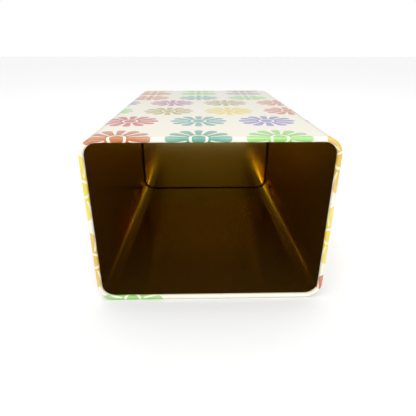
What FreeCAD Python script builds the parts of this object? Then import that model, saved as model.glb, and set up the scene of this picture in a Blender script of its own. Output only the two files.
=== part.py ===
"""Open tinplate box with a rolled rim, lying on one long side.

Two pieces of sheet: the body wrap, closed by a welded lap seam and curled in at both ends,
and the base pan, whose edge is curled inside the wrap's base curl.

Frame, in millimetres: +X across the mouth, +Z up, the mouth faces -Y and the base +Y.
The origin is the bottom centre of the box that bounds the tin as it lies.
"""
import FreeCAD, Part
import math
import os

from FreeCAD import Vector

# Overall sizes, each set by itself
MOUTH_WIDTH = 150.0         # outside, across X at the rim
BODY_HEIGHT = 110.5         # outside, along Z, the same from rim to base
BODY_LENGTH = 210.0         # rim to base, along Y
SIDE_TAPER_DEG = 1.13       # each upright side leans in by this much towards the base
CORNER_RADIUS = 11.0        # outside, on all four long edges

# Sheet and its curls
PLATE = 0.30                # thickness of the tinplate
RIM_CURL_RADIUS = 1.55      # outside radius of the hollow bead round the mouth
RIM_CURL_TURN_DEG = 285.0   # how far the edge is curled round
BASE_CURL_RADIUS = 1.50     # outside radius of the curl that holds the base
BASE_CURL_TURN_DEG = 250.0

# Welded lap seam, along the lower face beside the +X edge
WELD_WIDTH = 1.0            # overlap of the two edges of the sheet
WELD_PROUD = 0.15           # how far the rolled-down lap stands above the plate, inside
WELD_INSET = 20.0           # from the +X side of the tin to the middle of the lap
WELD_END_GAP = 0.6          # the lap stops this far short of the rim curl and of the pan

# Base pan
PAN_DEPTH = 4.5             # from the end of the tin to the panel's inner face
PAN_EDGE_RADIUS = 1.60      # outside radius where the panel turns into the skirt
PAN_HOOK_TURN_DEG = 215.0   # how far the pan's edge is curled round inside the body's curl

# Clearance between the pan and the wrap, in the curl and along the wall
PAN_GAP = 0.05

# Derived sizes
HALF_LENGTH = BODY_LENGTH / 2
TAPER = math.tan(math.radians(SIDE_TAPER_DEG))
WALL_START = RIM_CURL_RADIUS                # depths behind the mouth
WALL_END = BODY_LENGTH - BASE_CURL_RADIUS
BASE_WIDTH = MOUTH_WIDTH - 2 * (WALL_END - WALL_START) * TAPER


def width_at(depth):
    """Outside width of the wall at a depth behind the mouth."""
    return MOUTH_WIDTH - 2 * (depth - WALL_START) * TAPER


def strip_section(start, heading_deg, moves, place):
    """Face of a bent strip of plate, seen edge on.

    The middle line starts at start, in (inward, y) coordinates, and follows moves:
    ("run", length) or ("turn", radius at the middle line, angle in degrees, left positive).
    place maps (inward, y) to a point in space.
    """
    half = PLATE / 2
    u, v = start
    heading = math.radians(heading_deg)

    def beside(offset):
        return place(u - offset * math.sin(heading), v + offset * math.cos(heading))

    left, right = [], []
    first_cap = Part.LineSegment(beside(-half), beside(half)).toShape()
    for move in moves:
        before = beside(half), beside(-half)
        if move[0] == "run":
            u += move[1] * math.cos(heading)
            v += move[1] * math.sin(heading)
            left.append(Part.LineSegment(before[0], beside(half)).toShape())
            right.append(Part.LineSegment(beside(-half), before[1]).toShape())
            continue
        radius, angle = move[1], math.radians(move[2])
        side = math.copysign(1.0, angle)
        centre_u = u - side * radius * math.sin(heading)
        centre_v = v + side * radius * math.cos(heading)
        middle = []
        for _ in range(2):
            heading += angle / 2
            u = centre_u + side * radius * math.sin(heading)
            v = centre_v - side * radius * math.cos(heading)
            middle.append((beside(half), beside(-half)))
        left.append(Part.Arc(before[0], middle[0][0], middle[1][0]).toShape())
        right.append(Part.Arc(middle[1][1], middle[0][1], before[1]).toShape())
    last_cap = Part.LineSegment(beside(half), beside(-half)).toShape()
    return Part.Face(Part.Wire([first_cap] + left + [last_cap] + right[::-1]))


def rim_section(place):
    """The hollow bead round the mouth, curled in and back towards the wall."""
    start = (PLATE / 2, WALL_START - HALF_LENGTH)
    moves = [("turn", RIM_CURL_RADIUS - PLATE / 2, RIM_CURL_TURN_DEG)]
    return strip_section(start, -90.0, moves, place)


def base_curl_section(place):
    """The wrap's base edge, curled in round the pan's edge."""
    start = (PLATE / 2, WALL_END - HALF_LENGTH)
    moves = [("turn", BASE_CURL_RADIUS - PLATE / 2, -BASE_CURL_TURN_DEG)]
    return strip_section(start, 90.0, moves, place)


def pan_section(place):
    """Skirt of the pan: over the panel's rounded edge, along the wall, round in the curl."""
    wall_side = PLATE + PAN_GAP
    moves = [
        ("turn", PAN_EDGE_RADIUS - PLATE / 2, -90.0),
        ("run", PAN_DEPTH - PAN_EDGE_RADIUS - BASE_CURL_RADIUS),
        ("turn", BASE_CURL_RADIUS - wall_side - PLATE / 2, -PAN_HOOK_TURN_DEG),
    ]
    start = (wall_side + PAN_EDGE_RADIUS, HALF_LENGTH - PAN_DEPTH + PLATE / 2)
    return strip_section(start, 180.0, moves, place)


def ring_of(section, width):
    """Solid ring: a section swept round a rounded rectangle of this outside width."""
    half_top = width / 2 - CORNER_RADIUS
    half_side = BODY_HEIGHT / 2 - CORNER_RADIUS
    middle = Vector(0, 0, BODY_HEIGHT / 2)
    pieces = []
    for turn, half_run, reach in ((0, half_top, half_side), (90, half_side, half_top),
                                  (180, half_top, half_side), (270, half_side, half_top)):
        angle = math.radians(turn)
        outward = Vector(math.sin(angle), 0, math.cos(angle))
        along = Vector(math.cos(angle), 0, -math.sin(angle))
        corner = middle + outward * reach + along * half_run

        def place(inward, y):
            return corner + outward * (CORNER_RADIUS - inward) + Vector(0, y, 0)

        face = section(place)
        pieces.append(face.extrude(along * (-2 * half_run)))
        pieces.append(face.revolve(corner, Vector(0, 1, 0), 90))
    return fused(pieces)


def outline(width, inset, y):
    """Face filling the tin's outline at one place along Y, set in by inset all round."""
    radius = CORNER_RADIUS - inset
    half_top = width / 2 - CORNER_RADIUS
    arcs = []
    for x, z, start in ((half_top, BODY_HEIGHT - CORNER_RADIUS, 0),
                        (-half_top, BODY_HEIGHT - CORNER_RADIUS, 90),
                        (-half_top, CORNER_RADIUS, 180),
                        (half_top, CORNER_RADIUS, 270)):
        angles = [math.radians(start + turned) for turned in (0, 45, 90)]
        arcs.append([Vector(x + radius * math.cos(a), y, z + radius * math.sin(a)) for a in angles])
    edges = []
    for index, arc in enumerate(arcs):
        edges.append(Part.Arc(*arc).toShape())
        edges.append(Part.LineSegment(arc[2], arcs[(index + 1) % 4][0]).toShape())
    return Part.Face(Part.Wire(edges))


def fused(pieces):
    """One clean solid from touching pieces."""
    joined = pieces[0].multiFuse(pieces[1:]).removeSplitter()
    if len(joined.Solids) != 1:
        raise RuntimeError("expected one solid, got %d" % len(joined.Solids))
    return joined.Solids[0]


def tapered_block(inset):
    """Solid between the two curls, set in by inset from the outside.

    It is what two prisms share: the outline drawn back while leaning to -X, and to +X.
    """
    start = outline(MOUTH_WIDTH, inset, WALL_START - HALF_LENGTH)
    run = WALL_END - WALL_START
    return start.extrude(Vector(-run * TAPER, run, 0)).common(start.extrude(Vector(run * TAPER, run, 0)))


def wall():
    """Tapered tube between the two curls."""
    return tapered_block(0.0).cut(tapered_block(PLATE))


def weld_lap():
    """The flattened lap where the wrap's two edges meet, proud of the lower face inside."""
    start = 2 * RIM_CURL_RADIUS + WELD_END_GAP
    run = BODY_LENGTH - PAN_DEPTH - WELD_END_GAP - start
    corner = Vector(width_at(start) / 2 - WELD_INSET - WELD_WIDTH / 2, start - HALF_LENGTH, PLATE / 2)
    across = Part.LineSegment(corner, corner + Vector(WELD_WIDTH, 0, 0)).toShape()
    end = across.extrude(Vector(0, 0, PLATE / 2 + WELD_PROUD))
    return end.extrude(Vector(-run * TAPER, run, 0))


def body_wrap():
    """The printed wrap: rim bead, wall with its seam, base curl."""
    return fused([ring_of(rim_section, MOUTH_WIDTH), wall(), weld_lap(),
                  ring_of(base_curl_section, BASE_WIDTH)])


def base_pan():
    """The stamped pan: a flat panel inside its skirt."""
    panel_y = HALF_LENGTH - PAN_DEPTH
    panel = outline(BASE_WIDTH, PLATE + PAN_GAP + PAN_EDGE_RADIUS, panel_y).extrude(Vector(0, PLATE, 0))
    return fused([ring_of(pan_section, BASE_WIDTH), panel])


os.makedirs("parts", exist_ok=True)
NODES = {"body_wrap": body_wrap(), "base_pan": base_pan()}
for name, shape in NODES.items():
    shape.exportStep("parts/%s.step" % name)
    print("%-10s valid %s, volume %.1f mm3" % (name, shape.isValid(), shape.Volume))
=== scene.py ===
# %% [markdown]
# # An open printed tin box
# The box is two pieces of tinplate. One sheet is printed, wrapped into a tube and curled
# in at both ends. A lacquered pan closes the far end. It lies on one long side with its
# mouth towards us. The imported model gives every size and place, so it is loaded first.

# %% Load the frame
import math

import bpy
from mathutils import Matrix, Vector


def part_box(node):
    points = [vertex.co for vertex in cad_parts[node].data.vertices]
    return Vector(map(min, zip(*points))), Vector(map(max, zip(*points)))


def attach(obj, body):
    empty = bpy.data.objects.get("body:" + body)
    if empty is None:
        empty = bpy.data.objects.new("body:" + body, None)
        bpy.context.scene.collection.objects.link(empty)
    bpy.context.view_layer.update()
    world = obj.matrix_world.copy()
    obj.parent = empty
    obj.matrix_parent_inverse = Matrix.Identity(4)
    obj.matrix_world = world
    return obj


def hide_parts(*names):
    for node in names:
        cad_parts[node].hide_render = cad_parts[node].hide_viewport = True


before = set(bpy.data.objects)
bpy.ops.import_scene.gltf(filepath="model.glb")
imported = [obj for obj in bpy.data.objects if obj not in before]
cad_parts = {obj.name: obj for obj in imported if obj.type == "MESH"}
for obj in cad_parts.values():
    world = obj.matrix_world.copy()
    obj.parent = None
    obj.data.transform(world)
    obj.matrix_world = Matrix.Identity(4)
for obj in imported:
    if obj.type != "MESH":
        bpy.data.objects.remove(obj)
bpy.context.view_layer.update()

# %% [markdown]
# ## Sizes
# The outside sizes come from the frame. What a box can't say, such as the thickness of the
# plate and the radius of each curl, is written once here, in metres.
# `inward` below means the distance in from the outside of the tin.

# %% Sizes of the tin
MM = 0.001
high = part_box("body_wrap")[1]
half_width, half_length, height = high.x, high.y, high.z
plate = 0.30 * MM
corner_radius = 11.0 * MM
rim_radius = 1.55 * MM           # the hollow bead round the mouth
base_curl_radius = 1.50 * MM
wall_start = -half_length + rim_radius
wall_end = half_length - base_curl_radius
lean = math.tan(math.radians(1.13))      # each upright side leans in towards the base
base_shift = (wall_end - wall_start) * lean
base_half_width = half_width - base_shift
corner_x = half_width - corner_radius
corner_z = height / 2 - corner_radius
lap_width = 1.0 * MM
weld_x = half_width - 20.0 * MM - lap_width / 2          # the lap's near edge, at the mouth
print("wall runs %.1f mm," % ((wall_end - wall_start) / MM),
      "base is %.2f mm wide" % (2 * base_half_width / MM))

# %% [markdown]
# ## Helpers for working by hand
# An operator acts on whatever is selected, so each step selects its points by their place
# first. `pick` does that. The others add a primitive with its place kept in its mesh, apply
# a modifier, and sweep a profile round the tin as a seaming roller would run.

# %% Select, add and apply
def let_go():
    """Leave edit mode and select nothing."""
    if bpy.context.object and bpy.context.object.mode != "OBJECT":
        bpy.ops.object.mode_set(mode="OBJECT")
    bpy.ops.object.select_all(action="DESELECT")


def pick(piece, test):
    """Select the points of a piece whose place passes a test, and stay in edit mode."""
    bpy.ops.object.mode_set(mode="OBJECT")
    bpy.context.tool_settings.mesh_select_mode = (True, False, False)
    for part in (piece.data.polygons, piece.data.edges):
        part.foreach_set("select", [False] * len(part))
    for point in piece.data.vertices:
        point.select = test(point.co)
    bpy.ops.object.mode_set(mode="EDIT")


def named_primitive(name):
    """Name the primitive just added, and move its place into its mesh."""
    piece = bpy.context.object
    piece.name = piece.data.name = name
    bpy.ops.object.transform_apply(location=True, rotation=True, scale=True)
    return piece


def apply_modifier(piece, kind, **settings):
    """Add a modifier to a piece, set it and apply it."""
    let_go()
    piece.select_set(True)
    bpy.context.view_layer.objects.active = piece
    modifier = piece.modifiers.new(kind.title(), kind)
    for key, value in settings.items():
        setattr(modifier, key, value)
    bpy.ops.object.modifier_apply(modifier=modifier.name)


def draw_out(x=0.0, y=0.0, z=0.0):
    """Extrude what is selected along a straight line."""
    bpy.ops.mesh.extrude_region_move(TRANSFORM_OT_translate={"value": (x, y, z)})


def turn(steps, degrees, centre, axis):
    """Extrude what is selected round an axis, by the right-hand rule.

    Spin counts the other way, so the angle changes its sign.
    """
    bpy.ops.mesh.spin(steps=steps, angle=math.radians(-degrees), center=centre, axis=axis)


# %% [markdown]
# ## Curled profiles and the sweep
# Seen edge on, both pieces are a bent line. Each starts as a circle of the size of its
# curl. The part of the circle that the sheet doesn't reach is deleted, and the line goes
# on from the circle's top point. The sweep then carries it along the four flats and spins
# it round the four corners, and the doubled points where the ends meet are merged.

# %% Profile and sweep
CURL_POINTS = 48
CORNER_STEPS = 14
RIM_TURN, HOOK_TURN = 285, 210                # degrees of curl of the rim and the pan's hook
BASE_TURN, BASE_STEPS = 250, 33
NEAR = 1e-5                                   # points this close together count as one place


def curl(name, radius, y, inward, towards, sweep):
    """A curl's circle at the top left of the tin, cut to the angle that the edge is turned.

    towards is -1 for a curl that leaves the wall towards the mouth, and 1 for the base.
    """
    centre_z = height - inward - radius
    let_go()
    bpy.ops.mesh.primitive_circle_add(vertices=CURL_POINTS, radius=radius,
                                      location=(-corner_x, y, centre_z),
                                      rotation=(0, math.radians(90), 0))
    piece = named_primitive(name)

    def beyond(point):
        angle = math.degrees(math.atan2(towards * (point.y - y), point.z - centre_z)) % 360
        return sweep + 1 < angle < 359
    pick(piece, beyond)
    bpy.ops.mesh.delete(type="VERT")
    pick(piece, lambda point: abs(point.y - y) < 1e-6 and point.z > centre_z + radius / 2)
    return piece


def sweep_round(piece):
    """Carry the profile once round the tin, clockwise from the top left corner."""
    bpy.ops.mesh.select_all(action="SELECT")
    draw_out(x=2 * corner_x)
    turn(CORNER_STEPS, 90, (corner_x, 0, height - corner_radius), (0, 1, 0))
    draw_out(z=-2 * corner_z)
    turn(CORNER_STEPS, 90, (corner_x, 0, corner_radius), (0, 1, 0))
    draw_out(x=weld_x - corner_x)
    draw_out(x=-weld_x - corner_x)
    turn(CORNER_STEPS, 90, (-corner_x, 0, corner_radius), (0, 1, 0))
    draw_out(z=2 * corner_z)
    turn(CORNER_STEPS, 90, (-corner_x, 0, height - corner_radius), (0, 1, 0))
    bpy.ops.mesh.select_all(action="SELECT")
    bpy.ops.mesh.remove_doubles(threshold=1e-6)


def lean_in(piece, ring_depths):
    """Move each ring of points in from both upright sides, more towards the base."""
    for index, depth in enumerate(ring_depths):
        last = index == len(ring_depths) - 1          # takes the whole base curl with it
        nearest = ring_depths[-2] + MM if last else depth - NEAR
        furthest = half_length + MM if last else depth + NEAR
        for side in (1, -1):
            pick(piece, lambda point: nearest < point.y < furthest and point.x * side > 0)
            bpy.ops.transform.translate(value=(-side * (depth - wall_start) * lean, 0, 0))
    bpy.ops.mesh.select_all(action="SELECT")
    bpy.ops.mesh.normals_make_consistent(inside=False)
    let_go()


def smooth(piece, degrees=40):
    """Shade curves smooth, and let the large flat faces keep their own direction."""
    let_go()
    piece.select_set(True)
    bpy.context.view_layer.objects.active = piece
    bpy.ops.object.shade_smooth_by_angle(angle=math.radians(degrees))
    apply_modifier(piece, "WEIGHTED_NORMAL", mode="FACE_AREA", weight=50, keep_sharp=True)


# %% [markdown]
# ## The printed wrap
# The outside face of the sheet is drawn, and its thickness is added on the inside. The wall
# is drawn back in seven stretches, one for each row of flowers, so that each row can carry
# its own place in the print later. The last ring is where the base curl begins.

# %% Printed wrap
row_ends = [23.2, 65.0, 104.0, 139.8, 169.8, 196.3]         # mm behind the mouth
rings = [end * MM - half_length for end in row_ends] + [wall_end]

body = curl("tin_body", rim_radius, wall_start, 0.0, -1, RIM_TURN)
reached = wall_start
for ring in rings:
    draw_out(y=ring - reached)
    reached = ring
turn(BASE_STEPS, -BASE_TURN, (-corner_x, wall_end, height - base_curl_radius), (1, 0, 0))
sweep_round(body)
lean_in(body, rings)
top_face = max(body.data.polygons, key=lambda face: face.area * (face.center.z > height / 2))
print("wrap: %d faces, top normal" % len(body.data.polygons),
      [round(n, 2) for n in top_face.normal])
for _ in ("print outside", "lacquer inside", "bare cut edge"):
    body.data.materials.append(None)          # the slots are filled once the finishes exist
apply_modifier(body, "SOLIDIFY", thickness=plate, offset=-1, use_even_offset=True,
               material_offset=1, material_offset_rim=2)
smooth(body)

# %% [markdown]
# ## The welded lap
# The two edges of the sheet overlap by a millimetre and are rolled flat as they are welded.
# The lap runs along the inside of the lower face. It is a long bar with softened edges and
# a top a touch shorter than its foot, and its far end moves in with the lean of the side.

# %% Welded lap
lap_start = wall_start + 2.15 * MM            # 0.6 mm clear of the rim's bead
lap_end = half_length - 5.1 * MM              # and 0.6 mm clear of the pan
lap_thick, lap_rise = 0.15 * MM, 0.07 * MM    # its middle is this far above the plate
let_go()
lap_middle = (weld_x + lap_width / 2, (lap_start + lap_end) / 2, plate + lap_rise)
bpy.ops.mesh.primitive_cube_add(size=1, location=lap_middle,
                                scale=(lap_width, lap_end - lap_start, lap_thick))
lap = named_primitive("weld_lap")
pick(lap, lambda point: point.y < 0)
bpy.ops.transform.translate(value=(-(lap_start - wall_start) * lean, 0, 0))
pick(lap, lambda point: point.y > 0)
bpy.ops.transform.translate(value=(-(lap_end - wall_start) * lean, 0, 0))
pick(lap, lambda point: point.z > plate)
bpy.ops.transform.resize(value=(1, 0.9995, 1))
apply_modifier(lap, "BEVEL", width=0.06 * MM, segments=3)
smooth(lap)

# %% [markdown]
# ## The base pan
# The pan is a shallow tray pushed in from the far end. Its edge is rounded over, runs back
# along the wall and is curled up inside the wrap's own curl. The panel closes the ring.

# %% Base pan
pan_gap = 0.05 * MM
pan_inward = plate + pan_gap
hook_radius = base_curl_radius - pan_inward
pan_edge_radius = 1.60 * MM
pan_depth = 4.5 * MM
PAN_EDGE_STEPS = 12
panel_y = half_length - pan_depth
edge_y, edge_z = panel_y + pan_edge_radius, height - pan_inward - pan_edge_radius

pan = curl("base_pan_sheet", hook_radius, wall_end, pan_inward, 1, HOOK_TURN)
draw_out(y=edge_y - wall_end)
turn(PAN_EDGE_STEPS, 90, (-corner_x, edge_y, edge_z), (1, 0, 0))
sweep_round(pan)
for side in (1, -1):
    pick(pan, lambda point: point.x * side > 0)
    bpy.ops.transform.translate(value=(-side * base_shift, 0, 0))
pick(pan, lambda point: point.y < panel_y + NEAR)
bpy.ops.mesh.edge_face_add()
bpy.ops.mesh.inset(thickness=4 * MM, depth=0)
bpy.ops.mesh.select_all(action="SELECT")
bpy.ops.mesh.normals_make_consistent(inside=False)
let_go()
panel_face = max(pan.data.polygons, key=lambda face: face.area)
print("pan: %d faces, panel normal" % len(pan.data.polygons),
      [round(n, 2) for n in panel_face.normal])
apply_modifier(pan, "SOLIDIFY", thickness=plate, offset=-1, use_even_offset=True)
smooth(pan)

# %% [markdown]
# ## Where the print lies
# A printed sheet has its own flat coordinates: across is the way round the tin from the
# middle of the top, and back is the distance behind the mouth, counted along the metal over
# the curls. Each corner of each face is given its place in the print as an attribute, with
# the number of its row. The two ends of the sheet meet at the weld.

# %% Flat coordinates of the sheet
quarter_bend = corner_radius * math.pi / 2


def way_round(point, middle, shift, weld):
    """Signed distance round the outside from the middle of the top, in metres.

    middle is the face's own middle: it says which flat or side of the weld a point belongs to.
    """
    flat = corner_x - shift
    half_round = 2 * (flat + quarter_bend + corner_z)
    if abs(middle.x) < flat and abs(middle.z - height / 2) > corner_z:
        if middle.z > height / 2:
            return point.x
        return half_round - point.x if middle.x > weld else -half_round - point.x
    side = math.copysign(1.0, middle.x)
    up = point.z - height / 2
    if abs(up) <= corner_z:
        return side * (flat + quarter_bend + corner_z - up)
    bend = math.atan2(abs(point.x) - flat, abs(up) - corner_z) * corner_radius
    return side * (flat + bend if up > 0 else half_round - flat - bend)


def way_back(point, inward):
    """Distance behind the mouth along the metal, in metres."""
    if point.y > wall_end:
        turned = math.atan2(point.y - wall_end, base_curl_radius - inward) % math.tau
        return wall_end + half_length + turned * base_curl_radius
    if point.y < wall_start or inward > plate + NEAR:
        turned = math.atan2(wall_start - point.y, rim_radius - inward) % math.tau
        return wall_start + half_length - turned * rim_radius
    return point.y + half_length


def inward_of(point, shift):
    """How far a point is in from the outside of the tin."""
    over = max(abs(point.x) - (corner_x - shift), 0.0)
    up = max(abs(point.z - height / 2) - corner_z, 0.0)
    return corner_radius - math.hypot(over, up)


# %% [markdown]
# ## The rows of flowers
# The print repeats every 45 mm round the tin. Two rows stand in line, the next two are
# moved half a repeat, and so on. Each row has its middle, how much it is squeezed along
# the tin, and its inks from left to right. The side panels carry the flowers a little larger.

# %% Rows and inks
REPEAT = 45.0
HALF_REPEAT = REPEAT / 2
FIRST_MIDDLE = -6.5
INKS = {
    "orange": (0.44, 0.118, 0.008), "teal": (0.09, 0.31, 0.22), "green": (0.25, 0.55, 0.12),
    "ochre": (0.66, 0.42, 0.04), "yellow": (0.73, 0.57, 0.03), "rose": (0.47, 0.056, 0.046),
    "blue": (0.10, 0.33, 0.30), "violet": (0.22, 0.19, 0.45), "gold": (0.44, 0.33, 0.04),
    "coral": (0.56, 0.14, 0.045), "steel": (0.16, 0.30, 0.40), "purple": (0.37, 0.09, 0.28),
    "khaki": (0.36, 0.29, 0.08), "grey": (0.34, 0.31, 0.38), "brown": (0.40, 0.15, 0.10),
}
ROWS = [   # middle, squeeze, moved by, inks from four repeats left to four right
    (0.4, 0.98, 0.0, "green ochre yellow orange teal green ochre yellow orange"),
    (46.0, 0.93, 0.0, "teal violet gold rose blue violet violet coral green"),
    (84.0, 0.89, -HALF_REPEAT, "rose steel orange green gold yellow coral teal violet"),
    (123.5, 0.86, -HALF_REPEAT, "yellow green rose steel purple khaki coral green ochre"),
    (154.0, 0.76, 0.0, "orange purple teal coral blue green violet yellow rose"),
    (184.0, 0.67, 0.0, "violet yellow green coral green grey ochre steel coral"),
    (208.0, 0.62, 0.0, "coral teal orange ochre green brown rose violet yellow"),
]
PRINT_LEFT, PRINT_RIGHT = -209.0, 165.4      # the lower face beyond is plain cream
LEFT_SIDE, LEFT_REPEAT = -51.5, 49.1         # where a larger repeat takes over, and its length
RIGHT_SIDE, RIGHT_REPEAT = 83.0, 49.7


def print_across(way):
    """Place in the print for a signed way round in mm: the sides are printed larger."""
    if way < LEFT_SIDE:
        return LEFT_SIDE + (way - LEFT_SIDE) * REPEAT / LEFT_REPEAT
    if way > RIGHT_SIDE:
        return RIGHT_SIDE + (way - RIGHT_SIDE) * REPEAT / RIGHT_REPEAT
    return way


def lean_at(point):
    """How far each side has moved in at a point's distance behind the mouth."""
    return (min(max(point.y, wall_start), wall_end) - wall_start) * lean


def lay_print(piece):
    """Write each face corner's place in its row of the print, in mm, as an attribute."""
    mesh = piece.data
    layer = mesh.attributes.new("print_place", "FLOAT_VECTOR", "CORNER")
    for face in mesh.polygons:
        middle = face.center
        depth = way_back(middle, inward_of(middle, lean_at(middle))) / MM
        row = sum(depth > end for end in row_ends)
        row_middle, squeeze, moved, _ = ROWS[row]
        for corner in face.loop_indices:
            point = mesh.vertices[mesh.loops[corner].vertex_index].co
            shift = lean_at(point)
            across = print_across(way_round(point, middle, shift, weld_x - lean_at(middle)) / MM)
            back = way_back(point, inward_of(point, shift)) / MM
            in_row = (across - FIRST_MIDDLE - moved, (back - row_middle) / squeeze, row)
            layer.data[corner].vector = in_row


lay_print(body)
print("print laid on", len(body.data.polygons), "faces")

# %% [markdown]
# ## Node helpers
# A finish is a small calculation. `finish` starts one, `place` adds a node with its settings
# and inputs, and `calc` writes arithmetic, so that a shape reads like a formula.

# %% Node helpers
def finish(name, colour, metallic, roughness):
    """A new material with its main shader; gives the material, its tree and the shader."""
    material = bpy.data.materials.new(name)
    material.use_nodes = True
    tree = material.node_tree
    shader = tree.nodes["Principled BSDF"]
    shader.inputs["Base Color"].default_value = (*colour, 1)
    shader.inputs["Metallic"].default_value = metallic
    shader.inputs["Roughness"].default_value = roughness
    return material, tree, shader


def place(tree, kind, inputs=(), **settings):
    """Add a node, with inputs as pairs of socket and value or link."""
    node = tree.nodes.new("ShaderNode" + kind)
    for key, value in settings.items():
        setattr(node, key, value)
    for socket, value in inputs:
        if isinstance(value, bpy.types.NodeSocket):
            tree.links.new(value, node.inputs[socket])
        else:
            node.inputs[socket].default_value = value
    return node


def calc(tree, operation, *values):
    """One step of arithmetic."""
    return place(tree, "Math", list(enumerate(values)), operation=operation).outputs[0]


def step_between(tree, value, start, end):
    """Rises smoothly from 0 at start to 1 at end."""
    return place(tree, "MapRange", [(0, value), (1, start), (2, end)],
                 interpolation_type="SMOOTHSTEP").outputs[0]


def mix_colour(tree, factor, first, second):
    """Mix two colours."""
    return place(tree, "Mix", [(0, factor), (6, first), (7, second)], data_type="RGBA").outputs[2]


def grey(value):
    """A colour without a hue."""
    return value, value, value, 1


# %% [markdown]
# ## The daisy
# Each flower has twelve petals, 30 degrees apart, that widen to blunt round tips and join at
# a hub. The north and south petals are slimmer. A pale ring, thinner above and below, sets
# off the middle disc. Everything is measured in mm from the flower's middle, so the edge of
# a shape is where its distance is zero: the smaller of two distances joins two shapes, and
# the larger keeps what they share.

# %% Daisy shape
TIP_START, TIP_ROUND = 15.5, 3.2
SIDE_SPREAD = 0.205                          # half width gained per mm of a side petal
UPRIGHT_SPREAD, UPRIGHT_START = 0.125, 0.55
HUB_RADIUS = 6.9
DISC_ACROSS, DISC_ALONG = 4.6, 5.0
RING_SHARPNESS, RING_HALF, RING_GAIN = 4.2, 0.50, 0.035


def length_of(tree, first, second):
    """Length of the line with these two legs."""
    squares = [calc(tree, "MULTIPLY", leg, leg) for leg in (first, second)]
    return calc(tree, "SQRT", calc(tree, "ADD", *squares))


def daisy(tree, x, y):
    """Mask of the ink, 1 inside the flower, and the distance from its middle."""
    across, along = calc(tree, "ABSOLUTE", x), calc(tree, "ABSOLUTE", y)
    reach = length_of(tree, x, y)
    sector = math.radians(30)
    bearing = calc(tree, "ARCTAN2", x, y)
    nearest = calc(tree, "ROUND", calc(tree, "DIVIDE", bearing, sector))
    nearest = calc(tree, "MULTIPLY", nearest, sector)
    off = calc(tree, "SUBTRACT", bearing, nearest)
    up = calc(tree, "MULTIPLY", reach, calc(tree, "COSINE", off))
    aside = calc(tree, "MULTIPLY", reach, calc(tree, "SINE", off))

    def petal(up, aside, spread, start):
        """Half width start, growing by spread along the petal, with a round tip."""
        past = calc(tree, "MAXIMUM", calc(tree, "SUBTRACT", up, TIP_START), 0.0)
        half = calc(tree, "MINIMUM", calc(tree, "MULTIPLY_ADD", up, spread, start), TIP_ROUND)
        return calc(tree, "SUBTRACT", length_of(tree, aside, past), half)

    beside_upright = calc(tree, "MULTIPLY", along, math.tan(sector / 2))
    beside_upright = calc(tree, "SUBTRACT", beside_upright, across)
    side_petals = calc(tree, "MAXIMUM", petal(up, aside, SIDE_SPREAD, 0.0), beside_upright)
    upright_petals = petal(along, across, UPRIGHT_SPREAD, UPRIGHT_START)
    hub = calc(tree, "SUBTRACT", reach, HUB_RADIUS)
    flower = calc(tree, "MINIMUM", calc(tree, "MINIMUM", side_petals, upright_petals), hub)
    round_disc = length_of(tree, calc(tree, "DIVIDE", x, DISC_ACROSS),
                           calc(tree, "DIVIDE", y, DISC_ALONG))
    from_ring = calc(tree, "ABSOLUTE", calc(tree, "SUBTRACT", round_disc, 1.0))
    from_ring = calc(tree, "MULTIPLY", from_ring, RING_SHARPNESS)
    ring_half = calc(tree, "MULTIPLY_ADD", across, RING_GAIN, RING_HALF)
    ring = calc(tree, "SUBTRACT", ring_half, from_ring)
    shape = calc(tree, "MAXIMUM", flower, ring)
    return step_between(tree, shape, 0.12, -0.12), reach


# %% [markdown]
# ## The printed finish
# The tin is first coated cream, then each ink is printed over it, and a clear varnish is
# baked on top. The inks are chosen by row and column with one stepped ramp a row. The
# petals grow a little paler towards their tips. A fine fleck in the ink, a slow unevenness
# in the cream and the varnish, and a faint ripple keep the surface from looking flat.

# %% Printed tinplate
CREAM, CREAM_DULL = (0.82, 0.785, 0.66), (0.795, 0.76, 0.635)
COLUMNS = 9
PALER_FROM, PALER_TO = 7.0, 18.0             # mm from a flower's middle
TIP_PALER, FLECK_PALER = 0.09, 0.07


def row_inks(tree, column, row):
    """Colour of the ink for a column, from the stepped ramps of all the rows."""
    fraction = calc(tree, "DIVIDE", calc(tree, "ADD", column, COLUMNS / 2), COLUMNS)
    ink = None
    for number, (_, _, _, names) in enumerate(ROWS):
        ramp = place(tree, "ValToRGB", [(0, fraction)], name="inks_row_%d" % (number + 1))
        ramp.color_ramp.interpolation = "CONSTANT"
        stops = ramp.color_ramp.elements
        for index, name in enumerate(names.split()):
            stop = stops[index] if index < 2 else stops.new(index / COLUMNS)
            stop.position = index / COLUMNS
            stop.color = (*INKS[name], 1)
        here = ramp.outputs[0]
        ink = here if ink is None else mix_colour(
            tree, calc(tree, "GREATER_THAN", row, number - 0.5), ink, here)
    return ink


def noise(tree, coords, scale, detail):
    """Soft noise from 0 to 1."""
    node = place(tree, "TexNoise", [("Vector", coords), ("Scale", scale), ("Detail", detail)])
    return node.outputs[0]


tinplate, tree, shader = finish("printed_tinplate", CREAM, 0.0, 0.30)
sheet = place(tree, "Attribute", attribute_name="print_place")
parts = place(tree, "SeparateXYZ", [(0, sheet.outputs["Vector"])])
sheet_x, flower_y, row_number = parts.outputs
column = calc(tree, "ROUND", calc(tree, "DIVIDE", sheet_x, REPEAT))
flower_x = calc(tree, "SUBTRACT", sheet_x, calc(tree, "MULTIPLY", column, REPEAT))
mask, reach = daisy(tree, flower_x, flower_y)
shifted = calc(tree, "COMPARE", row_number, 2.5, 0.6)      # rows 2 and 3, counted from 0
moved_by = calc(tree, "MULTIPLY_ADD", shifted, -HALF_REPEAT, FIRST_MIDDLE)
print_x = calc(tree, "ADD", sheet_x, moved_by)
mask = calc(tree, "MULTIPLY", mask, calc(tree, "GREATER_THAN", print_x, PRINT_LEFT))
mask = calc(tree, "MULTIPLY", mask, calc(tree, "LESS_THAN", print_x, PRINT_RIGHT))
ink = row_inks(tree, column, row_number)
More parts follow.
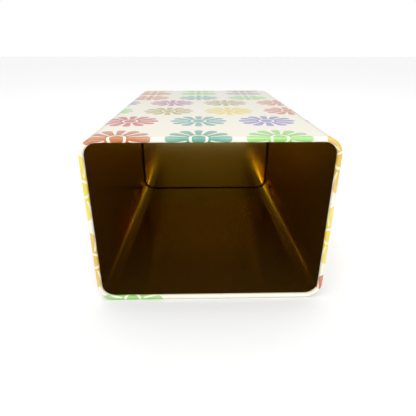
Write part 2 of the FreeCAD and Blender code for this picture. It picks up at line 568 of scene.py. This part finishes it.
tip_ink = mix_colour(tree, TIP_PALER, ink, grey(1.0))
paler = mix_colour(tree, step_between(tree, reach, PALER_FROM, PALER_TO), ink, tip_ink)
coords = place(tree, "TexCoord").outputs["Object"]
fleck = noise(tree, coords, 2600.0, 2.0)
fleck = calc(tree, "MULTIPLY", step_between(tree, fleck, 0.35, 0.75), FLECK_PALER)
flecked = mix_colour(tree, fleck, paler, grey(1.0))
cloud = noise(tree, coords, 14.0, 3.0)
cream = mix_colour(tree, cloud, (*CREAM, 1), (*CREAM_DULL, 1))
tree.links.new(mix_colour(tree, mask, cream, flecked), shader.inputs["Base Color"])
tree.links.new(calc(tree, "MULTIPLY_ADD", cloud, 0.10, 0.15), shader.inputs["Roughness"])
shader.inputs["Coat Weight"].default_value = 0.6
shader.inputs["Specular IOR Level"].default_value = 0.3
shader.inputs["Coat Roughness"].default_value = 0.10
ripple = noise(tree, coords, 55.0, 2.0)
uneven = place(tree, "Bump", [("Strength", 0.03), ("Distance", 0.0002), ("Height", ripple)])
tree.links.new(uneven.outputs[0], shader.inputs["Normal"])
print("printed finish:", len(tree.nodes), "nodes")

# %% [markdown]
# ## Gold lacquer and bare edges
# The inside is bright tinplate under a gold lacquer. It reflects almost like a mirror, and
# each reflection is darker and browner than the last, which is why the inside looks so deep.
# The rolling of the sheet leaves a faint grain along it, and the lacquer lies a little
# unevenly, so both change the gloss. A thin share of dull orange stands for the haze of the
# lacquer itself. The cut edges of the sheet stay bare tin, with a rougher, uneven gloss.

# %% Gold lacquer
def grain(tree, scale, stretch):
    """Noise drawn out along the tin."""
    coords = place(tree, "TexCoord").outputs["Object"]
    drawn = place(tree, "Mapping", [("Vector", coords), ("Scale", stretch)]).outputs[0]
    return noise(tree, drawn, scale, 4.0)


lacquer, tree, shader = finish("gold_lacquer", (0.42, 0.31, 0.09), 1.0, 0.15)
rolled = grain(tree, 600.0, (1.0, 0.02, 1.0))
patchy = grain(tree, 22.0, (1.0, 0.6, 1.0))
tree.links.new(mix_colour(tree, patchy, (0.325, 0.243, 0.078, 1), (0.36, 0.272, 0.09, 1)),
               shader.inputs["Base Color"])
dullness = calc(tree, "MULTIPLY_ADD", patchy, 0.06, 0.10)
dullness = calc(tree, "MULTIPLY_ADD", rolled, 0.05, dullness)
tree.links.new(dullness, shader.inputs["Roughness"])
shader.inputs["Specular Tint"].default_value = (0.7, 0.52, 0.25, 1)
haze = place(tree, "BsdfPrincipled", [("Base Color", (0.50, 0.24, 0.022, 1)), ("Roughness", 0.9),
                                      ("Specular IOR Level", 0.0)])
layers = place(tree, "MixShader", [(0, 0.06), (1, shader.outputs[0]), (2, haze.outputs[0])])
tree.links.new(layers.outputs[0], tree.nodes["Material Output"].inputs["Surface"])

edge_tin, tree, shader = finish("bare_tin_edge", (0.62, 0.60, 0.56), 1.0, 0.35)
tree.links.new(calc(tree, "MULTIPLY_ADD", grain(tree, 900.0, (1.0, 1.0, 1.0)), 0.3, 0.2),
               shader.inputs["Roughness"])

for index, finish_used in enumerate((tinplate, lacquer, edge_tin)):
    body.data.materials[index] = finish_used
for piece in (pan, lap):
    piece.data.materials.append(lacquer)

# %% [markdown]
# ## Floor, light and camera
# The tin stands on a pale floor against a white background. Only the eye sees that white:
# light and reflections come from greyer surroundings, so that the edges of the tin stand
# out. On our side they change with height, because the mirror-like inside shows them. A
# broad sun and a soft box light the top, a small box lights the rim, and low strips on our
# side draw the bright lines in the inside corners and on the base.

# %% Floor
let_go()
bpy.ops.mesh.primitive_plane_add(size=8.0, location=(0, 0, 0))
floor = named_primitive("floor")
floor_finish, tree, shader = finish("pale_floor", (0.74, 0.74, 0.74), 0.0, 0.9)
shader.inputs["Specular IOR Level"].default_value = 0.1
shader.inputs["Emission Color"].default_value = (1, 1, 1, 1)
shader.inputs["Emission Strength"].default_value = 0.095
floor.data.materials.append(floor_finish)

# %% Surroundings and lights
scene = bpy.context.scene
scene.view_settings.view_transform = "Standard"
world = bpy.data.worlds.new("studio")
scene.world = world
world.use_nodes = True
tree = world.node_tree
direction = place(tree, "TexCoord").outputs["Generated"]
_, back, raised = place(tree, "SeparateXYZ", [(0, direction)]).outputs
heights = place(tree, "ValToRGB", [(0, raised)], name="our_side_by_height")
stops = heights.color_ramp.elements
OUR_SIDE = (   # height, from 0 at the horizon to 1 overhead, and brightness there
    (0.10, 0.80), (0.24, 0.65), (0.34, 0.55), (0.42, 0.15),
    (0.50, 0.40), (0.56, 0.85), (0.66, 0.85), (0.72, 0.30),
)
for index, (raised_to, brightness) in enumerate(OUR_SIDE):
    stop = stops[index] if index < 2 else stops.new(raised_to)
    stop.position, stop.color = raised_to, grey(brightness)
away = mix_colour(tree, step_between(tree, raised, 0.10, 0.24), grey(0.56), grey(0.66))
glow = mix_colour(tree, step_between(tree, back, 0.2, -0.35), away, heights.outputs[0])
seen = place(tree, "LightPath").outputs["Is Camera Ray"]
glow = mix_colour(tree, seen, glow, grey(1.0))
tree.links.new(glow, tree.nodes["Background"].inputs["Color"])


def soft_box(name, watts, wide, location, turned, tall=None):
    """An area light that the eye doesn't see, square unless it is given a height."""
    let_go()
    bpy.ops.object.light_add(type="AREA", location=location,
                             rotation=[math.radians(angle) for angle in turned])
    lamp = bpy.context.object
    lamp.name = name
    lamp.data.energy, lamp.data.size = watts, wide
    if tall:
        lamp.data.shape, lamp.data.size_y = "RECTANGLE", tall
    lamp.visible_camera = False


let_go()
bpy.ops.object.light_add(type="SUN", location=(0, 0, 1),
                         rotation=(math.radians(18), math.radians(-8), 0))
overhead = bpy.context.object
overhead.name = "overhead"
overhead.data.energy = 1.9
overhead.data.angle = math.radians(60)

soft_box("front_box", 1.4, 0.35, (0.20, -0.75, 0.88), (40, 14, 0))
soft_box("top_box", 2.4, 1.2, (0.0, 0.25, 1.15), (-12, 0, 0), tall=0.6)
for name, side, watts in (("left_strip", -1, 1.2), ("right_strip", 1, 0.45)):
    soft_box(name, watts, 0.16, (side * 0.33, -1.0, 0.12), (88, 0, side * 19), tall=0.10)
soft_box("crease_strip", 0.5, 0.14, (0.62, -0.92, 0.12), (88, 0, 34))

# %% Camera
let_go()
bpy.ops.object.camera_add(location=(-6.717 * MM, -304.849 * MM, 159.131 * MM),
                          rotation=[math.radians(angle) for angle in (65.453, -0.1007, -1.3566)])
camera = bpy.context.object
camera.name = "camera"
camera.data.lens = 31.711
camera.data.sensor_width = 36.0
camera.data.clip_start = 0.01
scene.camera = camera

# %% [markdown]
# ## What each piece stands for
# Nothing on the tin moves, so every piece rides on the one body. The wrap and its lap stand
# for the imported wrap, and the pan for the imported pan.

# %% Hand over to the frame
for piece, node, slot in ((body, "body_wrap", "printed_tinplate"),
                          (lap, "body_wrap", "gold_lacquer"),
                          (pan, "base_pan", "gold_lacquer")):
    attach(piece, "root")
    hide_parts(node)
